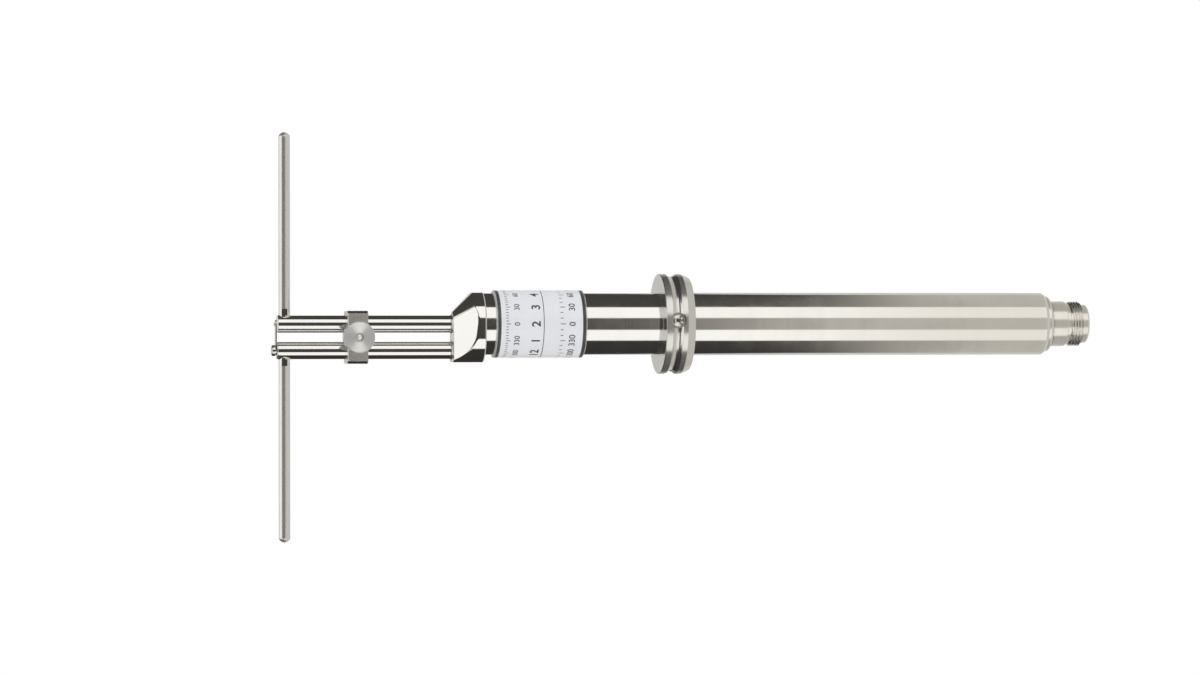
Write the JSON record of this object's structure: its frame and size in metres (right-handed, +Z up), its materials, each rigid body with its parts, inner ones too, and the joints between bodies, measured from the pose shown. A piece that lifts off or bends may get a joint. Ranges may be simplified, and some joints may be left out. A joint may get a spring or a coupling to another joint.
{
  "type": "coaxial dipole antenna",
  "caption": "Half-wave dipole on a polished coaxial boom: two threaded rods, a two-tube balun with a clamped tuning slide, an index ring and a threaded coaxial jack.",
  "frame": {"origin": "centre of the shoulder where the boom's rear spigot starts, 0.1 mm behind the index ring", "axes": "+X along the boom towards the coaxial jack, +Z up along the upper element, knob on the -Y side"},
  "size_m": [0.2922, 0.0352, 0.1426],
  "materials": {
    "polished_tube": "polished, fading to satin at the rear end",
    "polished_head": "polished",
    "polished_balun": "polished",
    "solder": "bright solder",
    "turned_brass": "turned",
    "white_dielectric": "smooth",
    "nickel_plug": "turned",
    "nickel_strap": "bright strip",
    "screw_steel": "polished screw",
    "drawn_rod": "drawn, slightly rough",
    "slide_metal": "fine brushed",
    "turned_knob": "fine turned",
    "label_backing": "smooth",
    "label_foil": "satin foil, black border lines and scale",
    "clear_film": "clear film",
    "turned_ring": "fine turned",
    "socket_screw": "bright face with a dark hexagonal socket",
    "satin_bush": "satin turned",
    "jack_nickel": "nickel, satin",
    "gold_contact": "gold flashed",
    "silver_wire": "silver plated",
    "copper_jacket": "drawn copper",
    "spacer_plastic": "smooth"
  },
  "bodies": {
    "boom": {"boom_tube": "polished_tube", "transition_head": "polished_head", "coax_tube": "polished_balun", "stub_tube": "polished_balun", "solder_fillets": "solder", "coax_tube_bush": "turned_brass", "bush_insulator": "white_dielectric", "stub_tube_plug": "nickel_plug", "feed_strap": "nickel_strap", "strap_screw": "screw_steel", "upper_element": "drawn_rod", "lower_element": "drawn_rod", "label_carrier": "label_backing", "label_foil": "label_foil", "clear_cover": "clear_film", "index_ring": "turned_ring", "index_ring_screws": "socket_screw", "rear_bush": "satin_bush", "jack_body": "jack_nickel", "jack_insulator": "white_dielectric", "jack_contact": "gold_contact", "cable_ferrule": "turned_brass", "line_conductor": "silver_wire", "line_dielectric": "white_dielectric", "line_jacket": "copper_jacket", "line_spacers": "spacer_plastic"},
    "tuning_slide": {"slide_front_jaw": "slide_metal", "slide_rear_jaw": "slide_metal"},
    "thumb_knob": {"clamp_knob": "turned_knob", "clamp_screw": "screw_steel"}
  },
  "joints": [
    {"name": "tuning_slide_travel", "type": "slide", "parent": "boom", "child": "tuning_slide", "axis": [1, 0, 0], "range_m": [-0.019, 0.028]},
    {"name": "thumb_knob_turn", "type": "hinge", "parent": "tuning_slide", "child": "thumb_knob", "pos_m": [-0.1176, -0.0078, -0.0046], "axis": [0, -1, 0], "range_deg": [0, 360]}
  ]
}
